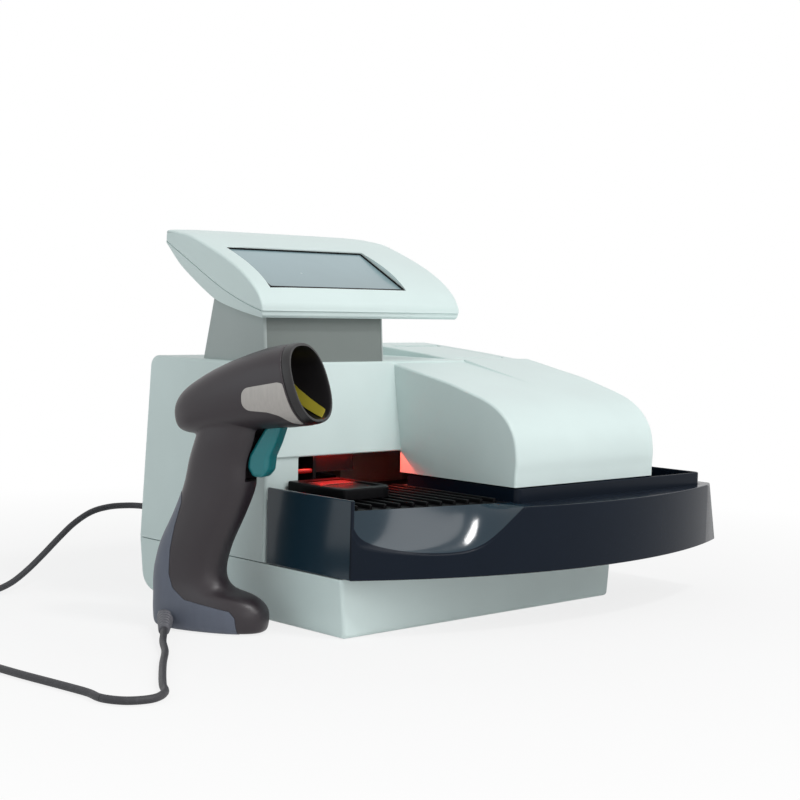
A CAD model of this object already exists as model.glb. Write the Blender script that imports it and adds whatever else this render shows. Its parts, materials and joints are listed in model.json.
"""Bench-top urine strip analyzer: casing, display, tray, printer lid, hand scanner and its lead."""

import json
import math

import bmesh
import bpy
import numpy as np
from mathutils import Matrix, Vector


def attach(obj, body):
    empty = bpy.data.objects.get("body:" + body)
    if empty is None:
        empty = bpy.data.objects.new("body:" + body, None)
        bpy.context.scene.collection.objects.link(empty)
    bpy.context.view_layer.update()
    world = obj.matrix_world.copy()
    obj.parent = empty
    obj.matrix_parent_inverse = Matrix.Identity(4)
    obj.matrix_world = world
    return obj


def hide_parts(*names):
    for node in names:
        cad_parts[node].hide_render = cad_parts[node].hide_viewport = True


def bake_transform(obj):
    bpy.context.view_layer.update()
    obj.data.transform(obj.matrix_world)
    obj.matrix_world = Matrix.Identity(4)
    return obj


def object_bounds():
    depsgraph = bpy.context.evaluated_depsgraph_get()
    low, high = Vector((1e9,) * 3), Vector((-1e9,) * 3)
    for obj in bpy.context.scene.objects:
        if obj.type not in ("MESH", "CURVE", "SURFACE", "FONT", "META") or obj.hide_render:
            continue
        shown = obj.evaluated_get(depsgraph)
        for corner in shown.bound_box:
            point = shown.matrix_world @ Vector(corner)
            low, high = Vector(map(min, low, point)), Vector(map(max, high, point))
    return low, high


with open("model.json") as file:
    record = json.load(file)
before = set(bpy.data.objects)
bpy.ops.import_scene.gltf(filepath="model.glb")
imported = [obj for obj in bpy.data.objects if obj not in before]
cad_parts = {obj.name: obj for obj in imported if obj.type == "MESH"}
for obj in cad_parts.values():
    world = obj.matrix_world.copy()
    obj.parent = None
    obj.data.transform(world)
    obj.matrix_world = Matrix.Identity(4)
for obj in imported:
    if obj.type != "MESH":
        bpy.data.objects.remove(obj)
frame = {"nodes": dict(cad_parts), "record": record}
CAD_BOX = [list(corner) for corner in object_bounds()]

bl_info = {
    "name": "Strip Analyzer",
    "version": (1, 0, 0),
    "blender": (4, 5, 0),
    "location": "View3D > Sidebar > Analyzer",
    "description": "Builds the visible pieces of a bench-top strip analyzer with a hand scanner",
    "category": "Object",
}

# Lengths are millimetres in the shapes below and become metres in the mesh
MM = 0.001
HALF_W = 149
FRONT_Y = -123
REAR_Y = 123
SEAM_Z = 43
DECK_Z = 190
WALL = 2.6
LIP_Y = -39
LIP_Z = 120
SILL_Z = 92
HOOD_X = -14
RAISED_X = 69
TRAY_X0 = -149
TRAY_X1 = 240
TRAY_Z0 = 43.3
TRAY_REAR = -39.3
HEAD_X0 = -153
HEAD_X1 = 52
SCREEN = (-70, 2.5, 258.5)
SCREEN_TILT = math.radians(27)
SCREEN_W = 138
SCREEN_H = 62
SCANNER_AT = (-186, -48)
SCANNER_TURN = math.radians(26 - 90)
RELIEF_AT = (-46, -14, 8.5)
RELIEF_LENGTH = 42
CORD_D = 5
TALL = 1.06
BOW_AT = (72, 243)
BOW_R = 435.98
POLISH_R = 434.5
POCKET_X = -15
BIN_X = 213.4
CAMERA_AT = (-0.9047, -0.9696, 0.2430)
CAMERA_HEADING = math.radians(-43.66)
CAMERA_PITCH = math.radians(90 - 3.69)
CAMERA_ROLL = math.radians(1.46)
LOOK_AT = (0.03, -0.04, 0.13)


def paint(red, green, blue):
    """Screen colour bytes as the linear colour that a shader takes."""
    c = np.array([red, green, blue])/255
    linear = np.where(c <= 0.04045, c/12.92, ((c + 0.055)/1.055)**2.4)
    return tuple(float(v) for v in linear)


def length(name, description, default):
    """A length in metres."""
    return bpy.props.FloatProperty(name=name, description=description, default=default, min=0.0,
                                   precision=5, unit="LENGTH")


def tint(name, description, *shade):
    """A colour given as screen bytes."""
    return bpy.props.FloatVectorProperty(name=name, description=description, default=paint(*shade),
                                         size=3, min=0.0, max=1.0, subtype="COLOR")


class AnalyzerSizes(bpy.types.PropertyGroup):
    """Edges and gaps of the moulded pieces."""
    seam: length("Seam", "Gap between the base and the cover", 0.0007)
    casing_edge: length("Casing edge", "Radius along the ends of the casing", 0.003)
    hood_edge: length("Hood edge", "Radius along the ends of the hood", 0.002)
    head_edge: length("Display edge", "Radius along the ends of the display head", 0.0016)
    tray_edge: length("Tray edge", "Radius along the rim of the bowed front", 0.0014)
    screen_gap: length("Screen gap", "Gap between the screen and its frame", 0.0006)
    trim_gap: length("Grip gap", "Gap between the scanner's shell and its soft grip", 0.0003)
    cord: length("Lead", "Diameter of the scanner's lead", CORD_D*MM)


class AnalyzerColours(bpy.types.PropertyGroup):
    """Colours of the finishes."""
    casing: tint("Casing", "Pale moulded casing", 217, 233, 231)
    pedestal: tint("Pedestal", "Grey pedestal under the display", 170, 180, 178)
    insert: tint("Insert", "Darker plate in the pedestal's front", 118, 126, 123)
    tray: tint("Tray", "Dark glossy tray", 18, 27, 39)
    scoop: tint("Scoop", "Polished scoop and side of the tray", 24, 47, 60)
    dark: tint("Dark plastic", "Black moulded pieces", 10, 10, 11)
    screen: tint("Screen", "Unlit touch screen", 134, 160, 166)
    light: tint("Light", "Red reading light", 255, 30, 16)
    scanner: tint("Scanner", "Charcoal shell of the scanner", 41, 34, 39)
    grip: tint("Grip", "Soft blue-grey grip of the scanner", 92, 98, 112)
    label: tint("Plate", "Bare side plate of the scanner", 172, 168, 164)
    trigger: tint("Trigger", "Teal trigger", 20, 116, 122)
    lead: tint("Lead", "Scanner's lead", 58, 58, 62)


def watts(name, description, default):
    """A lamp's power."""
    return bpy.props.FloatProperty(name=name, description=description, default=default, min=0.0,
                                   unit="POWER")


class AnalyzerStage(bpy.types.PropertyGroup):
    """Light and camera."""
    key: watts("Key", "Power of the key lamp", 8.3)
    top: watts("Top", "Power of the high lamp", 7.0)
    fill: watts("Fill", "Power of the fill lamp", 3.0)
    low: watts("Low", "Power of the low front lamp", 2.2)
    room: bpy.props.FloatProperty(name="Room", description="Level of the light from all round", default=0.42)
    lens: bpy.props.FloatProperty(name="Lens", description="Focal length of the camera", default=73.82,
                                  unit="CAMERA")


def sizes():
    """The sizes that the user may change."""
    return bpy.context.scene.analyzer_sizes


def colours():
    """The colours that the user may change."""
    return bpy.context.scene.analyzer_colours


# Outlines and surfaces

def unit(v):
    """Vectors divided by their own length."""
    return v/np.maximum(np.linalg.norm(v, axis=-1, keepdims=True), 1e-9)


def spline(points, steps):
    """A Catmull-Rom curve through the points: each span is a cubic whose end slopes are half the
    distance between the points on either side."""
    p = np.asarray(points, float)
    p = np.vstack([2*p[0] - p[1], p, 2*p[-1] - p[-2]])
    t = np.linspace(0, 1, steps, endpoint=False)[None, :, None]
    a, b, c, d = (p[i:len(p) - 3 + i, None, :] for i in range(4))
    curve = 0.5*(2*b + (c - a)*t + (2*a - 5*b + 4*c - d)*t**2 + (3*b - a - 3*c + d)*t**3)
    return np.vstack([curve.reshape(-1, p.shape[1]), p[-2]])


def rounded(points, radii, steps=6):
    """A polygon whose corners are arcs. An arc of radius r touches both sides at r/tan(h) from the
    corner, and its centre lies r/sin(h) along the bisector, where h is half the corner's angle."""
    p = np.asarray(points, float)
    r = np.maximum(np.broadcast_to(np.asarray(radii, float), len(p)), 0.05)[:, None]
    u = unit(np.roll(p, 1, 0) - p)
    v = unit(np.roll(p, -1, 0) - p)
    half = np.arccos(np.clip((u*v).sum(1, keepdims=True), -1, 1))/2
    centre = p + unit(u + v)*r/np.sin(half)
    a = p + u*r/np.tan(half) - centre
    b = p + v*r/np.tan(half) - centre
    start = np.arctan2(a[:, 1], a[:, 0])
    turn = (np.arctan2(b[:, 1], b[:, 0]) - start + np.pi) % (2*np.pi) - np.pi
    angle = start[:, None] + turn[:, None]*np.linspace(0, 1, steps + 1)
    arcs = centre[:, None] + r[:, None]*np.stack([np.cos(angle), np.sin(angle)], -1)
    return arcs.reshape(-1, 2)


def inward(outline, distance):
    """An anticlockwise outline moved in: each point goes along the sum of its two sides' normals,
    divided by one plus their product, so that both sides move by the distance."""
    side = unit(np.roll(outline, -1, 0) - outline)
    after = np.stack([-side[:, 1], side[:, 0]], -1)
    before = np.roll(after, 1, 0)
    return outline + distance*(after + before)/(1 + (after*before).sum(1, keepdims=True))


def across(outlines, level, axis):
    """Outlines set across an axis, each at its level along it."""
    columns = [outlines[..., 0], outlines[..., 1]]
    columns.insert(axis, np.broadcast_to(np.asarray(level, float)[:, None], columns[0].shape))
    return np.stack(columns, -1)


def skin(rings, ring_shaped=False):
    """Quads between rings of points, with a face over each end, or joined end to end in a ring."""
    count, n = rings.shape[:2]
    rows = np.arange(count if ring_shaped else count - 1)[:, None]
    here = np.arange(n)[None, :]
    after = (here + 1) % n
    ahead = (rows + 1) % count
    quads = np.stack([rows*n + here, rows*n + after, ahead*n + after, ahead*n + here], -1)
    faces = quads.reshape(-1, 4).tolist()
    if not ring_shaped:
        faces += [list(range(n))[::-1], list(range((count - 1)*n, count*n))]
    return rings.reshape(-1, 3), faces


def ends(lo, hi, edges, steps=5):
    """Levels and insets of quarter-circle ends: level r(1 - cos t), inset r(1 - sin t)."""
    t = np.linspace(0, np.pi/2, steps + 1)
    low, high = (max(e, 0.02) for e in edges)
    level = np.r_[lo + low*(1 - np.cos(t)), (hi - high*(1 - np.cos(t)))[::-1]]
    inset = np.r_[low*(1 - np.sin(t)), (high*(1 - np.sin(t)))[::-1]]
    return level, inset


def prism(outline, lo, hi, edges=(0, 0), axis=0, steps=5):
    """An outline carried straight along an axis, with its two ends rounded off."""
    level, inset = ends(lo, hi, edges, steps)
    return skin(across(np.stack([inward(outline, i) for i in inset]), level, axis))


def block(lo, hi, edge):
    """A box with all its edges rounded."""
    plan = rounded([(lo[1], lo[2]), (hi[1], lo[2]), (hi[1], hi[2]), (lo[1], hi[2])], edge*1.2, 4)
    return prism(plan, lo[0], hi[0], (edge, edge))


def box(lo, hi):
    """A plain box for cutting."""
    plan = np.array([(lo[1], lo[2]), (hi[1], lo[2]), (hi[1], hi[2]), (lo[1], hi[2])], float)
    return skin(across(np.stack([plan, plan]), [lo[0], hi[0]], 0))


def tube(path, radius, sides):
    """A round profile carried along a path: p + r(cos a times the level side + sin a times the rise)."""
    ahead = unit(np.gradient(path, axis=0))
    side = unit(np.cross(ahead, [0, 0, 1]))
    rise = np.cross(side, ahead)
    a = np.linspace(0, 2*np.pi, sides, endpoint=False)[None, :, None]
    return skin(path[:, None] + radius*(np.cos(a)*side[:, None] + np.sin(a)*rise[:, None]))


def turned(profile, start, heading, sides=32):
    """A profile of (distance along, radius) turned about a line."""
    heading = unit(np.asarray(heading, float))
    side = unit(np.cross(heading, [0, 0, 1]))
    rise = np.cross(side, heading)
    a = np.linspace(0, 2*np.pi, sides, endpoint=False)[None, :, None]
    out = np.cos(a)*side + np.sin(a)*rise
    along = np.asarray(profile, float)
    return skin(start + along[:, :1, None]*heading + along[:, 1:, None]*out)


def together(*forms):
    """Several forms as one."""
    points, faces, first = [], [], 0
    for p, f in forms:
        points.append(p)
        faces += [[i + first for i in face] for face in f]
        first += len(p)
    return np.vstack(points), faces


def swelled(v):
    """A sine or cosine to the power 0.85, with its sign kept."""
    return np.sign(v)*np.abs(v)**0.85


def squarish(across_half, up_half, count):
    """A rounded oval: each coordinate is its half size times the swelled sine or cosine."""
    a = np.linspace(0, 2*np.pi, count, endpoint=False)
    return across_half*swelled(np.cos(a)), up_half*swelled(np.sin(a))


# Pieces

def solid(name, form):
    """A mesh object from a form in millimetres, with its faces pointing outwards."""
    points, faces = form
    mesh = bpy.data.meshes.new(name)
    mesh.from_pydata((np.asarray(points)*MM).tolist(), [], faces)
    work = bmesh.new()
    work.from_mesh(mesh)
    bmesh.ops.recalc_face_normals(work, faces=work.faces)
    work.to_mesh(mesh)
    work.free()
    obj = bpy.data.objects.new(name, mesh)
    bpy.context.scene.collection.objects.link(obj)
    return obj


def settle(obj):
    """The object's modifiers become its mesh."""
    bpy.context.view_layer.update()
    seen = obj.evaluated_get(bpy.context.evaluated_depsgraph_get())
    mesh = bpy.data.meshes.new_from_object(seen)
    old = obj.data
    obj.modifiers.clear()
    obj.data = mesh
    bpy.data.meshes.remove(old)
    mesh.name = obj.name


def remove(obj):
    """The object and its mesh go."""
    mesh = obj.data
    bpy.data.objects.remove(obj)
    bpy.data.meshes.remove(mesh)


def carve(obj, form, operation="DIFFERENCE"):
    """A form is cut from the object, joined to it or kept in common with it."""
    tool = solid("tool", form)
    cut = obj.modifiers.new("cut", "BOOLEAN")
    cut.operation = operation
    cut.solver = "EXACT"
    cut.object = tool
    settle(obj)
    remove(tool)


def dress(obj, slot, body, nodes=(), finish_name=None, crease=35, even=True):
    """Smooth faces with sharp creases, a finish, a body to ride on and the nodes it stands for."""
    mesh = obj.data
    mesh.polygons.foreach_set("use_smooth", np.ones(len(mesh.polygons), bool))
    mesh.set_sharp_from_angle(angle=math.radians(crease))
    if even:
        weighted = obj.modifiers.new("even", "WEIGHTED_NORMAL")
        weighted.keep_sharp = True
        weighted.weight = 60
    mesh.materials.clear()
    mesh.materials.append(finish(finish_name or slot))
    if body:
        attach(obj, body)
    if nodes:
        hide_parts(*nodes)


# Finishes

class Value:
    """A socket in a shader sum: each operator adds one Math node."""

    def __init__(self, owner, socket):
        self.owner = owner
        self.socket = socket

    def math(self, operation, a, b):
        return self.owner.node("ShaderNodeMath", {"operation": operation}, {0: a, 1: b})

    def __add__(self, other):
        return self.math("ADD", self, other)

    __radd__ = __add__

    def __sub__(self, other):
        return self.math("SUBTRACT", self, other)

    def __rsub__(self, other):
        return self.math("SUBTRACT", other, self)

    def __mul__(self, other):
        return self.math("MULTIPLY", self, other)

    __rmul__ = __mul__

    def __gt__(self, other):
        return self.math("GREATER_THAN", self, other)

    def __or__(self, other):
        return self.math("MAXIMUM", self, other)


class Finish:
    """One material: a Principled shader fed by sums of noise on the piece's own coordinates."""

    def __init__(self, name):
        self.material = bpy.data.materials.new(name)
        self.material.use_nodes = True
        self.tree = self.material.node_tree
        self.shader = self.tree.nodes["Principled BSDF"]
        self.place = self.node("ShaderNodeTexCoord", {}, {}, "Object")

    def node(self, kind, settings, sockets, out=0):
        """A node with its settings first, then the values or links of its sockets."""
        made = self.tree.nodes.new(kind)
        for key, value in settings.items():
            if key == "stops":
                ramp = made.color_ramp
                ramp.elements[0].position, ramp.elements[0].color = value[0]
                ramp.elements[1].position, ramp.elements[1].color = value[-1]
                for position, colour in value[1:-1]:
                    ramp.elements.new(position).color = colour
            else:
                setattr(made, key, value)
        for key, value in sockets.items():
            self.feed(made.inputs[key], value)
        return Value(self, made.outputs[out])

    def feed(self, socket, value):
        """A link for a Value, and otherwise the plain value on the socket."""
        if isinstance(value, Value):
            self.tree.links.new(value.socket, socket)
        elif isinstance(value, (tuple, list)) and len(value) == 3 and socket.type == "RGBA":
            socket.default_value = (*value, 1)
        else:
            socket.default_value = value

    def stretched(self, scale):
        """Coordinates multiplied along each axis."""
        return self.node("ShaderNodeMapping", {}, {"Vector": self.place, "Scale": scale})

    def noise(self, scale, detail=2.0, place=None):
        """Soft noise with so many lumps to the metre."""
        return self.node("ShaderNodeTexNoise", {},
                         {"Vector": place or self.place, "Scale": scale, "Detail": detail})

    def cells(self, scale):
        """Distance to the nearest of scattered points, so many to the metre."""
        return self.node("ShaderNodeTexVoronoi", {}, {"Vector": self.place, "Scale": scale})

    def ramp(self, value, low, high):
        """Nought below low, one above high and a straight line between."""
        return self.node("ShaderNodeMapRange", {}, {"Value": value, "From Min": low, "From Max": high})

    def part(self, axis):
        """One coordinate of the place, in metres."""
        return self.node("ShaderNodeSeparateXYZ", {}, {0: self.place}, axis)

    def mix(self, share, a, b):
        """Colour a, going to b with the share."""
        return self.node("ShaderNodeMix", {"data_type": "RGBA"}, {0: share, 6: a, 7: b}, 2)

    def bump(self, height, strength, distance):
        """A normal from a height."""
        return self.node("ShaderNodeBump", {},
                         {"Height": height, "Strength": strength, "Distance": distance})

    def surface(self, **sockets):
        """Values and links on the shader's own sockets."""
        for key, value in sockets.items():
            self.feed(self.shader.inputs[key.replace("_", " ")], value)
        return self.material


def shade(colour, level):
    """A colour made lighter or darker."""
    return tuple(min(1.0, c*level) for c in colour)


def moulded(name, colour, rough, grain=900, depth=0.00005, drift=0.05, coat=0.0, strength=0.25, gloss=0.5):
    """Moulded plastic: slow drift of tone, fine grain in gloss and relief."""
    f = Finish(name)
    cloud = f.ramp(f.noise(16, 3), 0.3, 0.7)
    fine = f.noise(grain, 2)
    tone = f.mix(cloud, shade(colour, 1 - drift), shade(colour, 1 + drift))
    return f.surface(Base_Color=f.mix(f.ramp(fine, 0.62, 0.8)*0.25, tone, shade(colour, 0.85)),
                     Roughness=rough + (fine - 0.5)*0.16 + (cloud - 0.5)*0.05,
                     Normal=f.bump(fine, strength, depth), Coat_Weight=coat, Coat_Roughness=0.12,
                     Specular_IOR_Level=gloss)


def make_navy(name):
    """Dark glossy plastic: faint waves under the gloss, hair scratches and specks of dust. It is lighter on
    the side and in the scoop, inside the bow's arc and left of the pocket's end."""
    f = Finish(name)
    colour = tuple(colours().tray)
    wave = f.noise(55, 2)
    hair = f.ramp(f.noise(260, 3, f.stretched((1, 9, 9))), 0.66, 0.74)
    dust = f.ramp(f.cells(420), 0.06, 0.0)
    x, y = f.part(0) - BOW_AT[0]*MM, f.part(1) - BOW_AT[1]*MM
    polished = (1 - (x*x + y*y > (POLISH_R*MM)**2))*(1 - (x > (POCKET_X - BOW_AT[0])*MM))
    tone = f.mix(polished, colour, tuple(colours().scoop))
    tone = f.mix(f.ramp(f.noise(18, 2), 0.3, 0.7)*0.12, tone, paint(8, 12, 18))
    return f.surface(Base_Color=f.mix(dust*0.35, tone, paint(96, 104, 112)),
                     Roughness=0.16 + wave*0.08 + hair*0.12 + dust*0.3,
                     Normal=f.bump(wave + hair*0.05, 0.12, 0.0004), Specular_IOR_Level=0.1,
                     Coat_Weight=polished*0.6, Coat_Roughness=0.12)


def make_bed(name):
    """Black bed under the strips: smooth, dark and a little rubbed along the strips."""
    f = Finish(name)
    rubbed = f.noise(300, 3, f.stretched((1, 0.08, 1)))
    fine = f.noise(1200, 2)
    return f.surface(Base_Color=f.mix(rubbed, paint(9, 9, 11), paint(18, 18, 20)), Specular_IOR_Level=0.08,
                     Roughness=0.24 + rubbed*0.12 + fine*0.06, Normal=f.bump(fine, 0.1, 0.00003))


def make_steel(name):
    """Ground steel: lines along X."""
    f = Finish(name)
    lines = f.noise(700, 3, f.stretched((0.05, 1, 1)))
    return f.surface(Base_Color=f.mix(lines, paint(150, 152, 156), paint(205, 206, 210)), Metallic=1.0,
                     Roughness=0.2 + lines*0.22, Normal=f.bump(lines, 0.15, 0.00003))


def make_sheet(name):
    """Galvanised sheet: patches with straight borders and a dull shine."""
    f = Finish(name)
    patch = f.node("ShaderNodeTexVoronoi", {}, {"Vector": f.place, "Scale": 150.0}, "Color")
    tone = f.mix(0.16, paint(168, 172, 176), patch)
    fine = f.noise(900, 2)
    return f.surface(Base_Color=f.mix(0.7, tone, paint(172, 176, 180)), Metallic=0.9,
                     Roughness=0.34 + fine*0.14, Normal=f.bump(fine, 0.1, 0.00004))


def make_bronze(name):
    """Sintered bronze with open pores."""
    f = Finish(name)
    pores = f.ramp(f.cells(1800), 0.3, 0.05)
    return f.surface(Base_Color=f.mix(pores, paint(176, 138, 82), paint(80, 58, 34)), Metallic=0.9,
                     Roughness=0.4 + pores*0.3, Normal=f.bump(1 - pores, 0.3, 0.00008))


def make_board(name):
    """Circuit board: green lacquer over copper lines, with dark packages above it."""
    f = Finish(name)
    lines = f.node("ShaderNodeTexBrick", {"offset": 0.5},
                   {"Vector": f.place, "Scale": 160.0, "Mortar Size": 0.06}, 1)
    fine = f.noise(800, 2)
    lacquer = f.mix(lines, paint(16, 84, 52), paint(52, 126, 78))
    above = f.part(2) > 0.0128
    return f.surface(Base_Color=f.mix(above, lacquer, paint(26, 26, 28)),
                     Roughness=0.3 + fine*0.15 + above*0.2, Normal=f.bump(lines, 0.2, 0.00005))


def make_screen(name):
    """Unlit screen under a clear hard coat: pale towards the top, with the faint rows of its cells."""
    f = Finish(name)
    colour = tuple(colours().screen)
    along = f.ramp(f.part(1), -0.026, 0.03)
    rows = f.node("ShaderNodeTexWave", {"wave_type": "BANDS", "bands_direction": "X"},
                  {"Vector": f.place, "Scale": 480.0, "Distortion": 0.0}, 1)
    cloud = f.noise(28, 2)
    tone = f.mix(along + (cloud - 0.5)*0.4, shade(colour, 0.86), shade(colour, 1.14))
    return f.surface(Base_Color=f.mix(rows*0.05, tone, shade(colour, 0.6)), Coat_Weight=0.5,
                     Roughness=0.22 + cloud*0.08, Coat_Roughness=0.04)


def make_light(name):
    """Red diode bar behind a diffuser: brighter over each diode."""
    f = Finish(name)
    spots = f.node("ShaderNodeTexWave", {"wave_type": "BANDS", "bands_direction": "X"},
                   {"Vector": f.place, "Scale": 40.0, "Distortion": 0.0}, 1)
    colour = tuple(colours().light)
    glow = f.mix(spots, shade(colour, 0.75), colour)
    return f.surface(Base_Color=paint(120, 16, 12), Roughness=0.4 + spots*0.1, Emission_Color=glow,
                     Emission_Strength=70.0)


def make_paper(name):
    """Thermal paper with its fibres."""
    f = Finish(name)
    fibre = f.noise(900, 4, f.stretched((1, 0.3, 0.3)))
    return f.surface(Base_Color=f.mix(fibre, paint(226, 226, 220), paint(246, 246, 242)),
                     Roughness=0.7 + fibre*0.15, Normal=f.bump(fibre, 0.15, 0.00004))


def make_grip(name):
    """Soft-touch grip: velvety and a little streaked along its height."""
    f = Finish(name)
    colour = tuple(colours().grip)
    streak = f.noise(120, 3, f.stretched((1, 1, 0.25)))
    fine = f.noise(1600, 2)
    return f.surface(Base_Color=f.mix(streak, shade(colour, 0.82), shade(colour, 1.12)),
                     Roughness=0.5 + fine*0.15, Normal=f.bump(fine, 0.35, 0.00006), Sheen_Weight=0.15)


def make_window(name):
    """Dark red scan window."""
    f = Finish(name)
    cloud = f.noise(90, 2)
    return f.surface(Base_Color=f.mix(cloud, paint(30, 4, 6), paint(52, 8, 10)),
                     Roughness=0.08 + cloud*0.06, Coat_Weight=0.6)


def make_plate(name):
    """Brushed silver side plate, left bare."""
    f = Finish(name)
    colour = tuple(colours().label)
    lines = f.noise(900, 3, f.stretched((1, 1, 0.06)))
    cloud = f.noise(70, 2)
    return f.surface(Base_Color=f.mix(lines, shade(colour, 0.86), shade(colour, 1.1)), Metallic=0.35,
                     Roughness=0.34 + cloud*0.16, Normal=f.bump(lines, 0.15, 0.00003))


def make_lead(name):
    """Lead's jacket: dull, with faint rings from its making and lint."""
    f = Finish(name)
    colour = tuple(colours().lead)
    lint = f.ramp(f.noise(260, 3), 0.55, 0.8)
    fine = f.noise(1500, 2)
    return f.surface(Base_Color=f.mix(lint, shade(colour, 0.85), shade(colour, 1.5)),
                     Roughness=0.5 + fine*0.2, Normal=f.bump(fine, 0.3, 0.0001))


# Moulded plastics: a colour's name or screen bytes, then moulded()'s values from the roughness on
MOULDINGS = {
    "casing": ("casing", 0.4, 1100, 0.00004, 0.025, 0.0, 0.2),
    "pedestal": ("pedestal", 0.44, 1100, 0.00004, 0.03, 0.0, 0.2),
    "insert": ("insert", 0.5, 1100, 0.00004, 0.04, 0.0, 0.2),
    "pad": ((52, 44, 44), 0.3, 800, 0.00003, 0.1),
    "black_plastic": ("dark", 0.46, 1000, 0.00006, 0.2, 0.0, 0.25, 0.2),
    "rubber_black": ((22, 22, 23), 0.78, 1500, 0.00012, 0.15, 0.0, 0.5),
    "scanner_dark": ("scanner", 0.4, 1300, 0.00007, 0.08, 0.0, 0.3),
    "teal": ("trigger", 0.36, 1200, 0.00005, 0.08),
    "rocker_red": ((150, 22, 20), 0.34, 900, 0.00003, 0.06, 0.2),
    "relief": ((96, 96, 102), 0.5, 1400, 0.0001, 0.12),
    "throat": ((20, 18, 20), 0.42, 1100, 0.00008, 0.12),
    "yellow": ((176, 164, 52), 0.45, 700, 0.00004, 0.1),
}
MAKERS = {
    "navy_gloss": make_navy, "bed": make_bed, "steel": make_steel, "sheet_metal": make_sheet,
    "bronze": make_bronze, "board": make_board, "screen": make_screen, "led": make_light,
    "paper": make_paper, "scanner_trim": make_grip, "window_red": make_window, "label_silver": make_plate,
    "cord_grey": make_lead,
}


def finish(name):
    """The finish of that name, made once."""
    full = "finish_" + name
    if full in bpy.data.materials:
        return bpy.data.materials[full]
    if name in MAKERS:
        return MAKERS[name](full)
    colour, *values = MOULDINGS[name]
    shown = tuple(getattr(colours(), colour)) if isinstance(colour, str) else paint(*colour)
    return moulded(full, shown, *values)


# Casing

def lean_y(z):
    """The front panel leans back 11 mm from its lip to the deck."""
    return LIP_Y + 11*(z - LIP_Z)/(DECK_Z - LIP_Z)


def rear_y(z):
    """The rear wall leans in 12 mm from the seam to the deck."""
    return REAR_Y - 12*(z - SEAM_Z)/(DECK_Z - SEAM_Z)


def base_form(inset, floor, edge):
    """Base: a profile with a round lower rear edge, carried across and narrowed towards its foot."""
    plan = rounded([(FRONT_Y + inset, floor), (REAR_Y - inset, floor), (REAR_Y - inset, 80),
                    (FRONT_Y + inset, 80)], [3.5, 15 - inset, 5, 5], 8)
    points, faces = prism(plan, -HALF_W + inset, HALF_W - inset, (edge, edge))
    points[:, 0] *= (145 + 4*points[:, 2]/SEAM_Z)/HALF_W
    return points, faces


def front_panel(edge):
    """Front panel left of the hood: a rounded plan carried back from the face, then leaned with height."""
    left, top = 0.03 - HALF_W, DECK_Z - 0.03
    plan = rounded([(left, LIP_Z), (HOOD_X + 4, LIP_Z), (HOOD_X + 4, top), (left, top)], [7, 2, 2, 3], 6)
    points, faces = prism(plan, 0, 6, (edge, 0.1), 1)
    points[:, 1] += lean_y(points[:, 2])
    return points, faces


def recess_frame():
    """Block round the connector recess, leaned with the rear wall that it grows from."""
    plan = rounded([(-141, 49), (51, 49), (51, 103), (-141, 103)], 2, 4)
    points, faces = prism(plan, -13.5, -1.3, (0.5, 0.1), 1)
    points[:, 1] += rear_y(points[:, 2])
    return points, faces


def hood_form(inset, foot, lift):
    """Hood: a profile with a round nose carried across; right of the crease its top rises to the rear."""
    top = spline([(-24, 188.8), (-58, 182.5), (-87.3, 177), (-107, 171.9), (-126.5, 166.4),
                  (-140.5, 160.2), (-151.9, 151), (-159.2, 139.2), (-162, 124), (-161.5, 112)], 5)
    plan = np.vstack([[(-161.2, foot)], [(-20, foot)], top])
    plan = inward(plan, inset) if inset else plan
    edge = max(0.02, sizes().hood_edge/MM - inset)
    level, back = ends(HOOD_X + inset, HALF_W - 0.05 - inset, (edge, edge))
    level = np.r_[level[:6], RAISED_X - 0.5, RAISED_X + 0.5, level[6:]]
    back = np.r_[back[:6], 0, 0, back[6:]]
    rings = across(np.stack([inward(plan, b) for b in back]), level, 0)
    rise = lift*np.clip((rings[..., 1] + 123)/95, 0, 1)*(rings[..., 2] > 140)
    rings[..., 2] += rise*np.clip(rings[..., 0] - RAISED_X + 0.5, 0, 1)
    return skin(rings)


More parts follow.
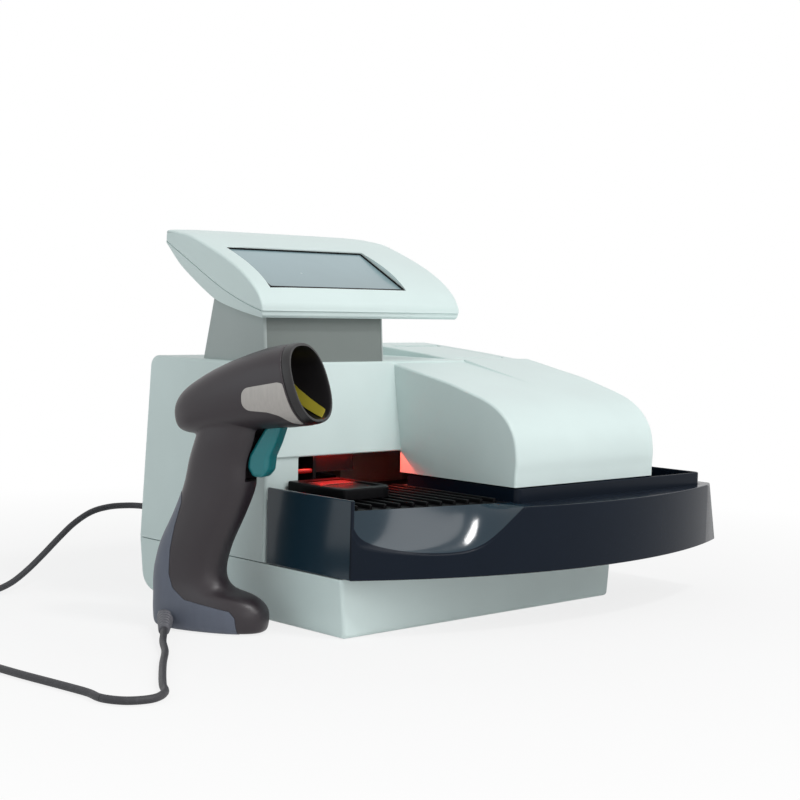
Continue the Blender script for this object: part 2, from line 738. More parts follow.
def build_casing():
    """Base, cover with its raised printer zone and front panel, and the hood."""
    edge = sizes().casing_edge/MM
    half_seam = sizes().seam/MM/2
    base = solid("base_shell", base_form(0, 0, edge))
    carve(base, box((-200, -200, SEAM_Z - half_seam), (200, 200, 120)))
    carve(base, base_form(WALL, 3, 1))
    dress(base, "casing", "chassis", ["base_pan"])

    plan = rounded([(LIP_Y + 2, 20), (rear_y(20), 20), (rear_y(DECK_Z), DECK_Z),
                    (lean_y(DECK_Z) + 2, DECK_Z), (LIP_Y + 2, LIP_Z)], [4, 4, 9, 4, 6], 8)
    cover = solid("cover_shell", prism(plan, -HALF_W, HALF_W, (edge, edge)))
    carve(cover, box((-200, -200, -50), (200, 200, SEAM_Z + half_seam)))
    raised = rounded([(-18, 150), (rear_y(150) - 0.02, 150), (rear_y(200) - 0.02, 200), (79, 198),
                      (22, 193.3), (-10, 190), (-18, 187)], [4, 4, 9, 60, 60, 6, 4], 8)
    carve(cover, prism(raised, RAISED_X, HALF_W - 0.02, (1.6, edge)), "UNION")
    carve(cover, front_panel(1.4), "UNION")
    hollow = np.array([(LIP_Y + 4.6, 10), (rear_y(10) - WALL, 10), (rear_y(187) - WALL, DECK_Z - WALL),
                       (lean_y(DECK_Z) + 4.6, DECK_Z - WALL), (LIP_Y + 4.6, LIP_Z)])
    carve(cover, prism(hollow, -HALF_W + WALL, HALF_W - WALL))
    carve(cover, recess_frame(), "UNION")
    carve(cover, box((-118, -60, SILL_Z), (HOOD_X + 2, -28, LIP_Z - 0.8)))
    carve(cover, box((HOOD_X + 2, -60, SILL_Z), (HALF_W - 4, -30, 176)))
    carve(cover, box((-117.5, LIP_Y + 1.6, LIP_Z - 3), (HOOD_X + 3, -30, LIP_Z + 8)))
    carve(cover, box((80, -6, 170), (138, 76.4, 220)))
    carve(cover, block((-138, 100, 52), (48, 140, 100), 2.5))
    dress(cover, "casing", "chassis", ["main_cover"])

    hood = solid("hood_shell", hood_form(0, 85, 1.6))
    carve(hood, hood_form(WALL, 70, 1.6))
    carve(hood, box((-60, -200, 0), (200, 0, 103)))
    carve(hood, box((HOOD_X + WALL + 0.1, -60, 60), (HALF_W - WALL - 0.2, 20, 176)))
    carve(hood, box((HOOD_X - 2, LIP_Y + 0.6, 60), (HOOD_X + WALL + 1, 20, LIP_Z - 0.1)))
    carve(hood, box((HOOD_X - 2, -29, LIP_Z - 1), (HOOD_X + WALL + 1, 20, 150)))
    dress(hood, "casing", "chassis", ["strip_hood"])


# Display

SEAM_LINE = [(-33.4, 37.8), (-8.5, 45), (20.1, 56.2), (54.9, 73.5), (87, 89.7)]
BELLY_LINE = [(-33.3, 37.2), (-33, 35.2), (-31.6, 33.9), (-28, 33.8), (0, 38.4), (27.5, 45), (44, 53),
              (61.1, 63.5), (74.4, 73.4), (86.6, 88)]
CREST_LINE = [(87, 89.9), (86.6, 94), (84.5, 95.6), (70, 93.3), (52.8, 89.5), (18, 76.7), (-7.9, 64.3),
              (-25.7, 52.2), (-33.3, 43.3), (-34.7, 38.6)]
CREST_RISE = [0, 0.5, 0.75, 0.9, 1, 1, 1, 0.8, 0.35, 0]
CROWN = 5.28


def head_top():
    """Upper shell: the crest's profile carried across and crowned between its ends, with the screen's
    bay pressed in along the screen's normal by a smooth step at its border."""
    crest = spline(np.column_stack([CREST_LINE, CREST_RISE]), 26)
    seam = spline(SEAM_LINE, 6)
    outline = np.vstack([np.column_stack([seam, np.zeros(len(seam))]), crest])
    edge = sizes().head_edge/MM
    end_level, end_inset = ends(HEAD_X0, HEAD_X1, (edge, edge))
    border = np.array([-2, -0.7, -0.25, 0, 0.25, 0.7, 2])
    bay = np.r_[SCREEN[0] - SCREEN_W/2 + border, SCREEN[0] + SCREEN_W/2 + border]
    inner = np.r_[np.linspace(HEAD_X0 + 3, HEAD_X0 + 13, 6), bay, np.linspace(-125, -15, 12),
                  np.linspace(3, HEAD_X1 - 3, 16)]
    level = np.sort(np.r_[end_level, inner])
    inset = np.interp(level, end_level, end_inset)
    plan = np.stack([inward(outline[:, :2], i) for i in inset])
    from_end = np.minimum(level - HEAD_X0, HEAD_X1 - level)
    share = np.interp(from_end, [0, 2, 8, 24, 60], [0.62, 0.7, 0.84, 0.96, 1])
    plan[..., 1] += CROWN*share[:, None]*outline[:, 2] + DECK_Z
    rings = across(plan, level, 0)
    normal = np.array([0, -math.sin(SCREEN_TILT), math.cos(SCREEN_TILT)])
    slope = np.array([0, math.cos(SCREEN_TILT), math.sin(SCREEN_TILT)])
    offset = rings - np.array(SCREEN)
    height = offset @ normal
    inside = np.minimum(SCREEN_W/2 - np.abs(offset[..., 0]), SCREEN_H/2 - np.abs(offset @ slope))
    step = np.clip(inside/0.5 + 0.5, 0, 1)
    step = step*step*(3 - 2*step)*(height > -6)
    return skin(rings - (step*(height + 2.2))[..., None]*normal)


def head_belly():
    """Lower shell: the space between belly and seam carried across, its ends leaning in below the seam."""
    seam = spline(SEAM_LINE, 6)
    belly = spline(BELLY_LINE, 6)
    outline = np.vstack([belly, seam[::-1] + [0, -0.04]]) + [0, DECK_Z]
    rings = np.repeat(outline[None], 4, 0)
    rings = across(rings, [HEAD_X0 + 0.3, HEAD_X0 + 8, HEAD_X1 - 8, HEAD_X1 - 0.3], 0)
    depth = np.interp(rings[..., 1], *np.transpose(SEAM_LINE)) + DECK_Z - rings[..., 2]
    middle = (HEAD_X0 + HEAD_X1)/2
    rings[..., 0] -= np.sign(rings[..., 0] - middle)*0.35*np.clip(depth, 0, 30)
    return skin(rings)


def panel_plate(margin, low, high):
    """Plate as large as the screen less a margin. Its top rises by 2% of the way up the slope, as the crest
    round it does."""
    w, h = SCREEN_W/2 - margin, SCREEN_H/2 - margin
    points, faces = prism(rounded([(-w, -h), (w, -h), (w, h), (-w, h)], 1.2, 4), low, high, (0.1, 0.25), 2)
    points[:, 2] += 0.02*points[:, 1]
    return points, faces


def on_screen(form):
    """A form turned and moved into the screen's plane."""
    tilt = np.array(Matrix.Rotation(SCREEN_TILT, 3, "X"))
    return form[0] @ tilt.T + np.array(SCREEN), form[1]


def build_display():
    """Pedestal, both shells of the display head and the touch screen."""
    foot, back = lean_y(DECK_Z) + 1, lean_y(DECK_Z) + 78
    plan = rounded([(foot, 184), (back + 1.5, 184), (back - 13, 240), (foot + 4.6, 240)], 5, 6)
    pedestal = solid("display_pedestal", prism(plan, HEAD_X0 + 10, HEAD_X0 + 130, (2, 2)))
    lean = 4.6/56
    bay = np.array([(foot - 2, 186), (foot + 0.9, 186), (foot + 0.9 + 52*lean, 238),
                    (foot - 2 + 52*lean, 238)])
    carve(pedestal, prism(bay, HEAD_X0 + 12.4, HEAD_X0 + 127.6))
    dress(pedestal, "casing", "chassis", ["pedestal"], "pedestal")
    plate = np.array([(foot + 0.3, 186.2), (foot + 1.6, 186.2), (foot + 1.6 + 51.6*lean, 237.8),
                      (foot + 0.3 + 51.6*lean, 237.8)])
    insert = solid("pedestal_insert", prism(plate, HEAD_X0 + 12.6, HEAD_X0 + 127.4, (0.2, 0.2)))
    dress(insert, "casing", "chassis", (), "insert")

    gap = sizes().screen_gap/MM
    upper = solid("display_top", head_top())
    dress(upper, "casing", "chassis", ["head_upper_shell"], crease=28)
    lower = solid("display_belly", head_belly())
    dress(lower, "casing", "chassis", ["head_lower_shell"], crease=28)

    screen = solid("display_screen", on_screen(panel_plate(gap + 0.7, -2, 1.6)))
    dress(screen, "screen", "chassis", ["touch_panel"])
    liner = solid("display_liner", on_screen(panel_plate(gap/2, -2.1, 2.7)))
    carve(liner, on_screen(panel_plate(gap + 0.65, -4, 6)))
    dress(liner, "black_plastic", "chassis")


# Tray

SCOOP_LINE = [(-149, 77), (-146.5, 71), (-142.5, 67), (-132, 64.4), (-116, 62), (-100, 60.6), (-84, 60.4),
              (-70, 61.7), (-60, 64.8), (-52, 69.2), (-42, 77), (-33, 85), (-25, 92)]


def bow_y(x):
    """The bowed front: an arc about a point far behind it."""
    return BOW_AT[1] - np.sqrt(BOW_R**2 - (x - BOW_AT[0])**2)


def pocket_y(x):
    """The pocket's straight front edge."""
    return -131 - 27.6*(x + 146)/131


def tray_front(edge):
    """Bowed front: at each place across, a closed section from the foot up the bow, over the rim, through
    the scoop's dish, t to the power 1.35 of its height, and down the inner wall. The right end leans in."""
    x = np.unique(np.r_[np.linspace(TRAY_X0 + 1, POCKET_X - 0.01, 110), np.linspace(POCKET_X, BIN_X, 90),
                        np.linspace(BIN_X + 0.01, TRAY_X1 - 1.5, 14)])
    scoop = spline(SCOOP_LINE, 8)
    low = np.interp(x, scoop[:, 0], scoop[:, 1], right=SILL_Z)
    front = bow_y(x)
    inner = np.where(x < POCKET_X, pocket_y(x), np.where(x <= BIN_X, -162.4, -84))
    t = np.linspace(0, 1, 18)[None]
    width = (inner - front)[:, None]
    rise = (SILL_Z - low)[:, None]
    start = np.minimum(0.4, edge/np.maximum(np.hypot(width, 0.6*rise), 1))
    t = start + (1 - start)*t
    dish = np.stack([front[:, None] + width*t, low[:, None] + rise*t**1.35], -1)
    b = np.linspace(0, 1, 6)[None, :-1, None]
    corner = np.stack([front, low], -1)[:, None]
    rim = (1 - b)**2*(corner - [0, edge]) + 2*b*(1 - b)*corner + b**2*dish[:, :1]
    foot = (1 - b)**2*np.stack([front + edge, 0*x + TRAY_Z0], -1)[:, None]
    foot = foot + 2*b*(1 - b)*np.stack([front, 0*x + TRAY_Z0], -1)[:, None]
    foot = foot + b**2*np.stack([front, 0*x + TRAY_Z0 + edge], -1)[:, None]
    back = np.stack([inner, 0*x + TRAY_Z0], -1)[:, None]
    section = np.concatenate([back, foot, rim, dish], 1)[:, ::-1]
    first, last = section[0], section[-1]
    t = np.linspace(0, np.pi/2, 5)[:-1]
    rings = np.concatenate([np.stack([inward(first, 0.6*(1 - math.sin(a))) for a in t]), section,
                            np.stack([inward(last, 1.5*(1 - math.sin(a))) for a in t[::-1]])])
    level = np.r_[TRAY_X0 + 1*(1 - np.cos(t)), x, TRAY_X1 - 1.5*(1 - np.cos(t[::-1]))]
    rings = across(rings, level, 0)
    lean = 10*(rings[..., 2] - TRAY_Z0)/(SILL_Z - TRAY_Z0)
    rings[..., 0] -= lean*np.clip((rings[..., 0] - BIN_X)/26, 0, 1)
    return skin(rings)


def bin_form():
    """Waste bin: an L-shaped plan carried up the outside, over a round rim and down the inside."""
    plan = rounded([(-12, -162), (213, -162), (213, -88), (148, -88), (148, -42), (-12, -42)], 5, 5)
    a = np.linspace(0, np.pi, 7)
    level = np.r_[48, 49, 101.1 + 0.9*np.sin(a), 50.8, 49.8]
    inset = np.r_[1, 0, 0.9 - 0.9*np.cos(a), 1.8, 2.6]
    return skin(across(np.stack([inward(plan, i) for i in inset]), level, 2))


def build_tray():
    """Bowed tray, lit pusher arm over it, ridged platform, loading tongue and waste bin."""
    edge = sizes().tray_edge/MM
    left = block((TRAY_X0, bow_y(TRAY_X0) + 0.4, TRAY_Z0), (TRAY_X0 + 3, TRAY_REAR, 99.4), 0.9)
    rear = block((TRAY_X0 + 2, TRAY_REAR - 2.4, TRAY_Z0), (151, TRAY_REAR, SILL_Z - 0.2), 0.6)
    end = block((149.5, -87.6, TRAY_Z0), (214, -84, SILL_Z), 0.8)
    side = block((148.4, -87.6, TRAY_Z0), (151.6, TRAY_REAR, SILL_Z), 0.8)
    divide = block((POCKET_X, pocket_y(POCKET_X), TRAY_Z0), (-12.4, TRAY_REAR, SILL_Z), 0.5)
    tray = solid("tray_shell", together(tray_front(edge), left, rear, end, side, divide))
    dress(tray, "navy_gloss", "tray", ["front_tray"], crease=30)

    arm = solid("pusher_arm", block((-115, -32.4, 106.4), (-99.5, -29.4, 110), 1.2))
    dress(arm, "rocker_red", "carriage")

    plan = rounded([(-145.7, pocket_y(-145.7) + 0.4), (-15.3, pocket_y(-15.3) + 0.4), (-15.3, TRAY_REAR),
                    (-145.7, TRAY_REAR)], 1.2, 4)
    forms = [prism(plan, 84, SILL_Z, (0.1, 0.6), 2)]
    for x in np.arange(-141, -19, 11.5):
        rib = rounded([(x, 90), (x + 3, 90), (x + 2.7, 95), (x + 0.3, 95)], [0.1, 0.1, 0.9, 0.9], 4)
        forms.append(prism(rib, pocket_y(x) + 5, TRAY_REAR - 2, (1, 0.4), 1))
    platform = solid("strip_platform_ridged", together(*forms))
    dress(platform, "black_plastic", "tray", ["strip_platform"], "bed")

    plan = rounded([(-130, -103.4), (-80, -103.4), (-80, TRAY_REAR), (-130, TRAY_REAR)],
                   [3, 13, 1.6, 1.6], 8)
    tongue = solid("loading_tongue_round", prism(plan, 95, 103, (0.3, 1.4), 2))
    carve(tongue, block((-124, -96, 101.6), (-86, -50, 108), 0.6))
    dress(tongue, "black_plastic", "tray", ["loading_tongue"], "bed")
    pad = solid("tongue_pad", block((-123, -68, 101), (-87, -50.6, 102.4), 0.25))
    dress(pad, "black_plastic", "tray", (), "pad")

    tub = solid("waste_tub", bin_form())
    dress(tub, "navy_gloss", "tray", ["waste_bin"])


# Printer

def build_printer():
    """Printer lid: flush with the raised zone, rolled round its hinge at the rear."""
    a = np.radians(np.linspace(205, 450, 22))
    barrel = np.stack([70 + 6*np.cos(a), 191.26 + 6*np.sin(a)], -1)
    plan = np.vstack([[(-3.2, 188), (-2, 187.6), (22, 190.4), (62, 193.4)], barrel,
                      [(50, 195.6), (22, 193.3), (-3.2, 190.7), (-4, 190)]])
    lid = solid("paper_lid", prism(plan, 80.4, 137.6, (0.5, 0.5)))
    dress(lid, "casing", "lid", ["printer_lid"], crease=28)


# Scanner

HEAD_FORM = np.array([(-45, 143, 3, 3.5, 8), (-43.5, 143.6, 9, 10, 8), (-38, 146, 13.8, 15, 9),
                      (-28, 149.4, 17.6, 20, 10), (-10, 155, 21.6, 25, 12), (12, 160.6, 25, 29, 14),
                      (35, 165.6, 27.4, 31.4, 16), (52, 168.4, 28, 32, 17.5)])*[1, TALL, TALL, 1, 1]
RIM_FORM = np.array([(52.3, 168.4, 27.6, 31.6, 17.5), (54, 168.9, 27.9, 31.9, 17.5),
                     (57, 169.6, 27.4, 31.4, 17.5), (57.8, 169.8, 26.9, 30.9, 17.5),
                     (58, 169.9, 26, 30, 17.5), (57.8, 169.8, 25.2, 29.2, 17.5),
                     (56, 169.4, 24.8, 28.8, 17.5)])*[1, TALL, TALL, 1, 1]
GRIP_FORM = np.array([(0, -17, 41, 19), (3, -17, 43.5, 21.5), (12, -17, 44.5, 22), (18, -18.5, 43, 21.5),
                      (23, -22.5, 39, 20.5), (27, -30, 31.5, 19.5), (33, -33.5, 28, 18.5),
                      (43, -33.5, 26.8, 18), (59, -28.8, 26.8, 17.8), (79, -19, 26.6, 17.6),
                      (98, -11.5, 26.5, 17.8), (115, -9, 25, 18.5), (130, -4, 25, 19.5),
                      (146, 0, 24, 19)])*[TALL, 1, 1, 1]
TRIM_AREA = np.array([(-90, 92.5), (-90, -4), (13, -4), (10.8, 11.6), (6.9, 15.8), (-10.5, 18.6),
                      (-28.3, 21.4), (-38.4, 28.3), (-42.2, 37.5), (-42, 53.6), (-39.3, 70), (-35.2, 86),
                      (-36.8, 92.4)])*[1, TALL]
TRIM_ROUND = [1, 1, 1, 3, 3, 6, 6, 6, 6, 6, 6, 3, 3]
TRIGGER_LINE = np.array([(29, 151), (28, 141.3), (21.2, 130.9), (14, 119.6), (13, 111.6), (17.2, 105.6),
                         (24.6, 105.2), (29, 110), (30, 119), (34.4, 128.6), (38.7, 141),
                         (37, 151)])*[1, TALL]
TRIGGER_ROUND = [3.6, 14, 14, 8, 5, 4, 4, 5, 12, 12, 14, 3.6]
TRIGGER_SLOT = np.array([(24, 156), (20, 140), (5, 122), (5, 102), (36, 102), (36, 116), (44, 138),
                         (44, 156)])*[1, TALL]
LABEL_AREA = np.array([(18.4, 151.2), (18.4, 165.4), (46, 170.6), (50, 170), (59.2, 142.8), (53, 143.6),
                       (46, 148.5), (37.5, 150.6)])*[1, TALL]
LABEL_ROUND = [6.5, 6.5, 2, 2.5, 1, 6, 12, 20]


def bench(points):
    """From the scanner's own axes, nose along X, to its place on the bench."""
    c, s = math.cos(SCANNER_TURN), math.sin(SCANNER_TURN)
    p = np.asarray(points, float)
    return np.stack([SCANNER_AT[0] + p[..., 0]*c - p[..., 1]*s, SCANNER_AT[1] + p[..., 0]*s + p[..., 1]*c,
                     p[..., 2]], -1)


def on_bench(form):
    """A form moved to the scanner's place."""
    return bench(form[0]), form[1]


def head_rings(stations, count=56):
    """Leaned ovals: a ring's point v above its middle goes back by v sin(tilt) and up by v cos(tilt)."""
    s, up, tall, wide, tilt = (np.asarray(stations, float)[:, k, None] for k in range(5))
    n, v = squarish(wide, tall, count)
    tilt = np.radians(tilt)
    return np.stack([s - v*np.sin(tilt), n + 0*s, up + v*np.cos(tilt)], -1)


def head_at(s):
    """The head's station at any place along it."""
    return np.column_stack([s] + [np.interp(s, HEAD_FORM[:, 0], HEAD_FORM[:, k]) for k in range(1, 5)])


def throat(inset, first, last, count=12):
    """Stations of the nozzle's inside."""
    st = head_at(np.linspace(first, last, count))
    st[:, 2:4] -= inset
    return st


def bore(inset, first, last, count=12):
    """The nozzle's inside as a form to cut with."""
    return on_bench(skin(head_rings(throat(inset, first, last, count))))


def throat_strip():
    """Strip on the nozzle's right inner wall: from the wall's middle, deep inside, down to the foot of the
    mouth. Its angle goes from -2 to -58 degrees as its depth goes from 29 to 4 mm."""
    t = np.linspace(0, 1, 26)[:, None]
    middle = -2 - 56*t
    a = np.radians(np.concatenate([middle - 13, middle + 13, middle + 13, middle - 13], 1))
    inset = np.array([3.25, 3.25, 3.9, 3.9])
    s, up, tall, wide, tilt = (head_at(54 - 25*(1 - t[:, 0]))[:, k, None] for k in range(5))
    n = (wide - inset)*swelled(np.cos(a))
    v = (tall - inset)*swelled(np.sin(a))
    tilt = np.radians(tilt)
    return np.stack([s - v*np.sin(tilt), n, up + v*np.cos(tilt)], -1)


def anticlockwise(plan):
    """An outline whose points go round with its inside on their left."""
    area = (plan[:, 0]*np.roll(plan[:, 1], -1) - plan[:, 1]*np.roll(plan[:, 0], -1)).sum()
    return plan if area > 0 else plan[::-1]


def side_area(area, grow, n0, n1, radius):
    """A side-view area carried across the scanner."""
    plan = anticlockwise(rounded(area, radius, 6))
    return on_bench(prism(inward(plan, -grow), n0, n1, (0, 0), 1))


def swollen(source, name, distance):
    """A copy of a mesh moved out along its normals."""
    mesh = source.data.copy()
    count = len(mesh.vertices)
    place, normal = np.empty(count*3), np.empty(count*3)
    mesh.vertices.foreach_get("co", place)
    mesh.vertices.foreach_get("normal", normal)
    mesh.vertices.foreach_set("co", place + normal*distance*MM)
    mesh.update()
    obj = bpy.data.objects.new(name, mesh)
    bpy.context.scene.collection.objects.link(obj)
    return obj


def relief_ahead():
    """The way the lead leaves the grip: 233 degrees round, and 3 degrees down."""
    heading, drop = math.radians(233), math.radians(3)
    return np.array([math.cos(heading)*math.cos(drop), math.sin(heading)*math.cos(drop), -math.sin(drop)])


def build_scanner():
    """Scanner: head and grip grown into one smooth body, soft grip, plate, nozzle, trigger and relief."""
    gap = sizes().trim_gap/MM
    body = solid("scanner_body", on_bench(skin(head_rings(spline(HEAD_FORM, 6)))))
    grip = spline(GRIP_FORM, 5)
    wide, deep = squarish(grip[:, 2:3], grip[:, 3:4], 56)
    rings = np.stack([grip[:, 1:2] + wide, deep, 0*wide + np.maximum(grip[:, :1], 0.3)], -1)
    carve(body, on_bench(skin(rings)), "UNION")
    grow = body.modifiers.new("grow", "REMESH")
    grow.mode = "VOXEL"
    grow.voxel_size = 1.05*MM
    soft = body.modifiers.new("soft", "SMOOTH")
    soft.factor = 0.5
    soft.iterations = 9
    settle(body)
    trim = swollen(body, "scanner_grip", 0.25)
    carve(trim, side_area(TRIM_AREA, -gap/2, -40, 40, TRIM_ROUND), "INTERSECT")
    dress(trim, "scanner_trim", "scanner", ["handle_trim"], crease=40, even=False)
    plate = swollen(body, "scanner_plate", 0.45)
    carve(plate, side_area(LABEL_AREA, 0, -60, -13, LABEL_ROUND), "INTERSECT")
    carve(plate, bore(1.1, 5, 70, 20))
    dress(plate, "label_silver", "scanner", ["side_label"], crease=40, even=False)
    carve(body, side_area(TRIM_AREA, gap/2, -60, 60, TRIM_ROUND))
    carve(body, side_area(TRIGGER_SLOT, 0, -9.6, 9.6, 2))
    carve(body, bore(2.2, 13, 64))
    dress(body, "scanner_dark", "scanner", ["scanner_shell_left", "scanner_shell_right"], crease=40,
          even=False)

    inside = throat(3.2, 16.4, 52)[::-1]
    outside = throat(2.4, 16.4, 51)
    rings = head_rings(np.vstack([RIM_FORM, inside, outside]))
    nozzle = solid("scanner_nozzle", on_bench(skin(rings, True)))
    dress(nozzle, "scanner_dark", "scanner", ["nozzle_rim"], "throat", 40)

    st = throat(2.6, 14, 16, 2)
    st = np.vstack([st[0] - [0, 0, 0.6, 0.6, 0], st[0] + [0.4, 0, 0, 0, 0], st[1] - [0.4, 0, 0, 0, 0],
                    st[1] - [0, 0, 0.6, 0.6, 0]])
    window = solid("scanner_window", on_bench(skin(head_rings(st))))
    dress(window, "window_red", "scanner", ["scan_window"])

    strip = solid("nozzle_strip", on_bench(skin(throat_strip())))
    dress(strip, "scanner_dark", "scanner", (), "yellow")

    plan = anticlockwise(rounded(TRIGGER_LINE, TRIGGER_ROUND, 9))
    trigger = solid("scanner_trigger", on_bench(prism(plan, -8.5, 8.5, (3.4, 3.4), 1, 9)))
    carve(trigger, bore(0.2, 5, 64))
    dress(trigger, "teal", "trigger", ["trigger"], crease=50)

    s = np.linspace(0, 1, 130)
    ribs = np.clip(np.sin(2*np.pi*(s*7.5 - 0.1))*1.8, -0.5, 0.5)*(s > 0.14)*(s < 0.97)
    radius = 6 - 2.5*s + ribs*0.75 - 0.3*(s > 0.97)
    profile = np.vstack([[(-4, 0.3), (-4, 6)], np.column_stack([RELIEF_LENGTH*s, radius]),
                         [(RELIEF_LENGTH, 0.3)]])
    relief = solid("scanner_relief", turned(profile, bench(RELIEF_AT), relief_ahead(), 36))
    dress(relief, "scanner_dark", "scanner", ["strain_relief"], "relief", 45)


# Lead

PORT = (-118, 61)
ARCH_ROUTE = [(-118, 142, 61), (-118, 151, 61), (-121, 161, 61.4), (-129, 170, 61.4), (-142, 177, 60.4),
              (-158, 179, 57), (-175, 178, 49), (-191, 176, 38), (-206, 175, 26), (-221, 174, 15),
              (-236, 172, 7), (-252, 168, 3.5), (-270, 162, 2.6), (-290, 154, 2.7)]
LEAD_ROUTE = [(-385, 66, 6), (-386, 42, 3.5), (-386, 15, 2.6), (-385, -20, 2.6), (-383, -55, 2.6),
              (-380, -90, 2.6), (-376, -122, 2.6), (-373, -150, 2.6), (-374, -167, 2.6), (-366, -181, 2.6),
              (-351, -186, 2.6), (-337, -178, 2.6), (-327, -162, 2.6), (-311, -139, 2.6), (-292, -113, 2.6),
              (-272, -87, 2.6)]
COIL_AT = (-348, 108)
COIL_LOW = CORD_D/2 + 1.1
COIL_CLIMB = CORD_D + 0.7
FREE_FROM = 8


def coil_line():
    """Coil: in on the lower layer and out again on the upper one. At t turns the radius is the outer one
    less a pitch for each turn from the nearer end, and the layers change over half a turn at mid length."""
    turns, pitch = 6.25, CORD_D + 0.6
    t = np.linspace(0, turns, int(turns*40) + 1)
    outer = 5.5*CORD_D + pitch*turns/4
    r = outer - pitch*(turns/2 - np.abs(t - turns/2))
    a = np.radians(90 + 360*t)
    climb = np.clip((t - turns/2 + 0.25)/0.5, 0, 1)
    x, y = COIL_AT
    return np.stack([x + r*np.cos(a), y + r*np.sin(a), COIL_LOW + COIL_CLIMB*climb], -1), outer


def lead_lines():
    """Two stretches of the lead: from the plug through the coil to the bend at the left, and on to the
    relief."""
    coil, outer = coil_line()
    into = np.array([COIL_AT[0] + CORD_D, COIL_AT[1] + outer, COIL_LOW])
    out = np.array([COIL_AT[0] - outer, COIL_AT[1] - CORD_D, COIL_LOW + COIL_CLIMB])
    arch = spline(np.vstack([ARCH_ROUTE, into + [32, 3.5, -0.6], into + [14, 0.4, -0.2], into]), 6)
    ahead = relief_ahead()
    end = bench(RELIEF_AT) + ahead*(RELIEF_LENGTH + 0.3)
    tail = [end + 24*ahead - [0, 0, 1.6], end + 10*ahead, end]
    lead = spline(np.vstack([out, out - [0, 15, 0.6], LEAD_ROUTE, tail]), 6)
    split = 6*(2 + FREE_FROM)
    return np.vstack([arch, coil, lead[:split + 1]]), lead[split:]


def kept_in(form):
    """A form whose points are held inside the frame's own box."""
    low, high = np.array(CAD_BOX)/MM
    return np.clip(form[0], low + 0.005, high - 0.005), form[1]


def build_lead():
    """Scanner's lead and its plug: a laid and coiled stretch, and a free one that lifts with the scanner."""
    thick = sizes().cord/MM
    laid_line, free_line = lead_lines()
    laid = solid("lead_laid", kept_in(tube(laid_line, thick/2, 14)))
    dress(laid, "cord_grey", "chassis", ["cord_arch", "cord_coil"], even=False)
    free = solid("lead_free", kept_in(tube(free_line, thick/2, 14)))
    dress(free, "cord_grey", None, ["cord_lead"], even=False)
    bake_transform(free)

    x, z = PORT
    s = np.linspace(0, 1, 60)
    boot = 4.6 - 1.4*s + 0.5*np.clip(np.sin(2*np.pi*s*4.5)*2, -1, 1)*(s > 0.1)*(s < 0.95)
    boot = np.vstack([[(-1, 0.3)], np.column_stack([16*s - 1, boot]), [(15, 0.3)]])
    tip = block((x - 5.8, 98.5, z - 4.3), (x + 5.8, 110, z + 4.3), 0.6)
    shell = block((x - 7, 108, z - 5.5), (x + 7, 127.6, z + 5.5), 1.8)
    plug = solid("lead_plug", together(tip, shell, turned(boot, np.array([x, 127, z]), (0, 1, 0), 28)))
    dress(plug, "black_plastic", "chassis", ["scanner_plug"])


# Fittings

def build_fittings():
    """The frame's own solids that stay in sight get their finishes."""
    for entry in frame["record"]["subparts"]:
        mesh = frame["nodes"][entry["node"]].data
        mesh.materials.clear()
        mesh.materials.append(finish(entry["material_slot"]))


# Stage

def sight_share(f, share):
    """The share where a ray comes from the eye, a mirror or glass, and nought for other light."""
    path = f.node("ShaderNodeLightPath", {}, {}, "Is Camera Ray")
    node = path.socket.node
    glossy = Value(f, node.outputs["Is Glossy Ray"])
    clear = Value(f, node.outputs["Is Transmission Ray"])
    return (path | glossy | clear)*share


def light(name, kind, power, place, target, colour):
    """A lamp of a kind that faces a point."""
    data = bpy.data.lights.new(name, kind)
    data.energy = power
    data.color = colour
    obj = bpy.data.objects.new(name, data)
    turn = (Vector(place) - Vector(target)).to_track_quat("Z", "Y").to_matrix().to_4x4()
    obj.matrix_world = Matrix.Translation(place) @ turn
    bpy.context.scene.collection.objects.link(obj)
    return data


def lamp(name, power, size, place, target, colour=(1, 1, 1)):
    """A soft square lamp."""
    data = light(name, "AREA", power, place, target, colour)
    data.shape = "SQUARE"
    data.size = size


def diode(name, power, place, target):
    """A small red lamp inside the opening, with a wide beam."""
    data = light(name, "SPOT", power, place, target, (1, 0.13, 0.08))
    data.spot_size = math.radians(80)
    data.spot_blend = 0.4
    data.shadow_soft_size = 0.0005


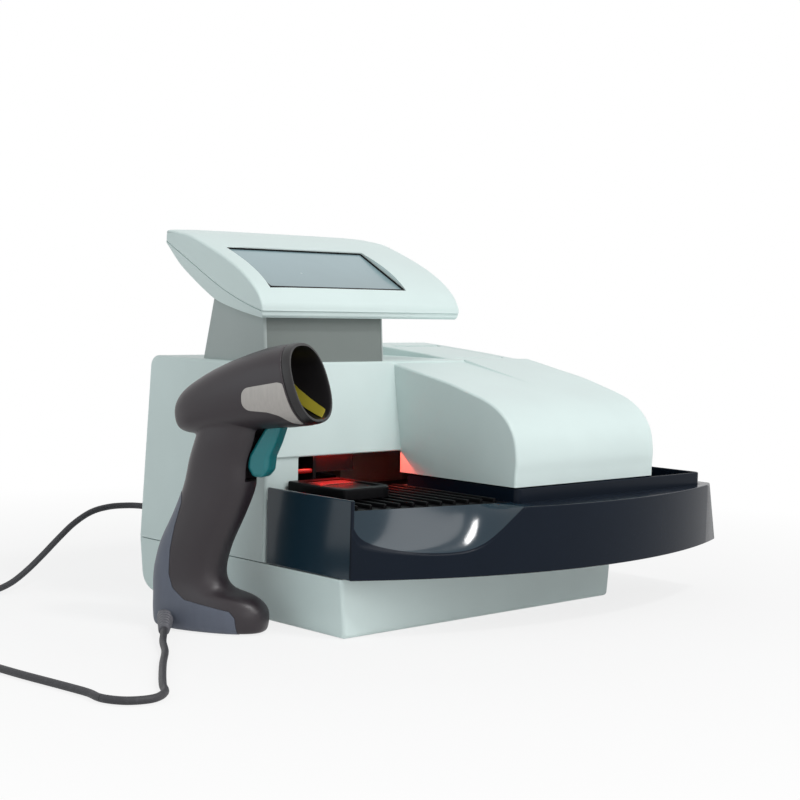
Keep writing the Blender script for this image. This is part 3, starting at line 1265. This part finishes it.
def build_stage():
    """Camera at the photograph's angle, pale floor, soft lamps and a white surround."""
    settings = bpy.context.scene.analyzer_stage
    camera = bpy.data.objects.new("camera", bpy.data.cameras.new("camera"))
    camera.data.lens = settings.lens
    camera.data.sensor_width = 36
    camera.data.clip_end = 30
    turn = (Matrix.Rotation(CAMERA_HEADING, 4, "Z") @ Matrix.Rotation(CAMERA_PITCH, 4, "X")
            @ Matrix.Rotation(CAMERA_ROLL, 4, "Z"))
    camera.matrix_world = Matrix.Translation(CAMERA_AT) @ turn
    bpy.context.scene.collection.objects.link(camera)
    bpy.context.scene.camera = camera
    bpy.context.scene.view_settings.view_transform = "Standard"

    reach = 9000
    corners = np.array([(-1, -1), (1, -1), (1, 1), (-1, 1)])*reach
    floor = solid("floor", (np.column_stack([corners, np.full(4, -0.4)]), [[0, 1, 2, 3]]))
    f = Finish("floor_white")
    f.surface(Base_Color=f.mix(f.noise(6, 2), (0.8, 0.8, 0.8), (0.84, 0.84, 0.84)), Roughness=0.9)
    glow = f.node("ShaderNodeEmission", {}, {"Color": (1, 1, 1), "Strength": 1.0})
    away = f.node("ShaderNodeVectorMath", {"operation": "LENGTH"}, {0: f.place}, "Value")
    share = 0.8 + f.ramp(away, 0.3, 0.75)*0.2
    shown = f.node("ShaderNodeMixShader", {}, {0: sight_share(f, share), 1: Value(f, f.shader.outputs[0]),
                                               2: glow})
    f.tree.links.new(shown.socket, f.tree.nodes["Material Output"].inputs["Surface"])
    floor.data.materials.append(f.material)

    world = bpy.data.worlds.new("surround")
    bpy.context.scene.world = world
    world.use_nodes = True
    f = Finish.__new__(Finish)
    f.tree = world.node_tree
    back = world.node_tree.nodes["Background"]
    level = settings.room + sight_share(f, 1 - settings.room)
    f.feed(back.inputs["Strength"], level)
    back.inputs["Color"].default_value = (1, 1, 1, 1)

    lamp("key_lamp", settings.key, 0.9, (0.22, -1.62, 1.2), LOOK_AT)
    lamp("fill_lamp", settings.fill, 1.2, (-1.5, 0.15, 0.7), LOOK_AT, (0.84, 0.97, 1))
    lamp("top_lamp", settings.top, 0.2, (0.085, -0.94, 1.47), (-0.055, -0.16, 0.08))
    lamp("low_lamp", settings.low, 0.8, (-0.62, -1.42, 0.3), LOOK_AT)
    diode("reading_diode", 0.12, (-0.045, -0.024, 0.131), (-0.014, -0.055, 0.107))
    diode("side_diode", 0.02, (-0.098, -0.0345, 0.121), (-0.117, -0.03, 0.108))


class AnalyzerStep:
    """What all the operators share."""
    bl_options = {"REGISTER", "UNDO"}

    def execute(self, context):
        self.make()
        return {"FINISHED"}


class ANALYZER_OT_stage(AnalyzerStep, bpy.types.Operator):
    """Set up the camera, floor and light"""
    bl_idname = "analyzer.stage"
    bl_label = "Stage"
    make = staticmethod(build_stage)


class ANALYZER_OT_lead(AnalyzerStep, bpy.types.Operator):
    """Lay the scanner's lead with its coil and plug"""
    bl_idname = "analyzer.lead"
    bl_label = "Lead"
    make = staticmethod(build_lead)


class ANALYZER_OT_fittings(AnalyzerStep, bpy.types.Operator):
    """Finish the solids that stay in sight"""
    bl_idname = "analyzer.fittings"
    bl_label = "Fittings"
    make = staticmethod(build_fittings)


class ANALYZER_OT_casing(AnalyzerStep, bpy.types.Operator):
    """Build the base, cover and hood"""
    bl_idname = "analyzer.casing"
    bl_label = "Casing"
    make = staticmethod(build_casing)


class ANALYZER_OT_display(AnalyzerStep, bpy.types.Operator):
    """Build the pedestal, display head and screen"""
    bl_idname = "analyzer.display"
    bl_label = "Display"
    make = staticmethod(build_display)


class ANALYZER_OT_tray(AnalyzerStep, bpy.types.Operator):
    """Build the tray, platform, tongue and bin"""
    bl_idname = "analyzer.tray"
    bl_label = "Tray"
    make = staticmethod(build_tray)


class ANALYZER_OT_printer(AnalyzerStep, bpy.types.Operator):
    """Build the printer's lid"""
    bl_idname = "analyzer.printer"
    bl_label = "Printer lid"
    make = staticmethod(build_printer)


class ANALYZER_OT_scanner(AnalyzerStep, bpy.types.Operator):
    """Build the hand scanner"""
    bl_idname = "analyzer.scanner"
    bl_label = "Hand scanner"
    make = staticmethod(build_scanner)


STEPS = [ANALYZER_OT_stage, ANALYZER_OT_lead, ANALYZER_OT_fittings, ANALYZER_OT_casing,
         ANALYZER_OT_display, ANALYZER_OT_tray, ANALYZER_OT_printer, ANALYZER_OT_scanner]
GROUPS = {"analyzer_sizes": AnalyzerSizes, "analyzer_colours": AnalyzerColours,
          "analyzer_stage": AnalyzerStage}


class ANALYZER_PT_steps(bpy.types.Panel):
    """Lists the steps and what may be changed"""
    bl_idname = "ANALYZER_PT_steps"
    bl_label = "Strip Analyzer"
    bl_space_type = "VIEW_3D"
    bl_region_type = "UI"
    bl_category = "Analyzer"

    def draw(self, context):
        for step in STEPS:
            self.layout.operator(step.bl_idname)
        for name, group in GROUPS.items():
            column = self.layout.column(align=True)
            for key in group.__annotations__:
                column.prop(getattr(context.scene, name), key)


def register():
    for cls in [*GROUPS.values(), *STEPS, ANALYZER_PT_steps]:
        bpy.utils.register_class(cls)
    for name, group in GROUPS.items():
        setattr(bpy.types.Scene, name, bpy.props.PointerProperty(type=group))


def unregister():
    for name in GROUPS:
        delattr(bpy.types.Scene, name)
    for cls in [ANALYZER_PT_steps, *STEPS[::-1], *GROUPS.values()]:
        bpy.utils.unregister_class(cls)


def main():
    """Registers the add-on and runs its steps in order."""
    register()
    bpy.ops.analyzer.stage()
    bpy.ops.analyzer.lead()
    bpy.ops.analyzer.fittings()
    bpy.ops.analyzer.casing()
    bpy.ops.analyzer.display()
    bpy.ops.analyzer.tray()
    bpy.ops.analyzer.printer()
    bpy.ops.analyzer.scanner()


if __name__ == "__main__":
    main()
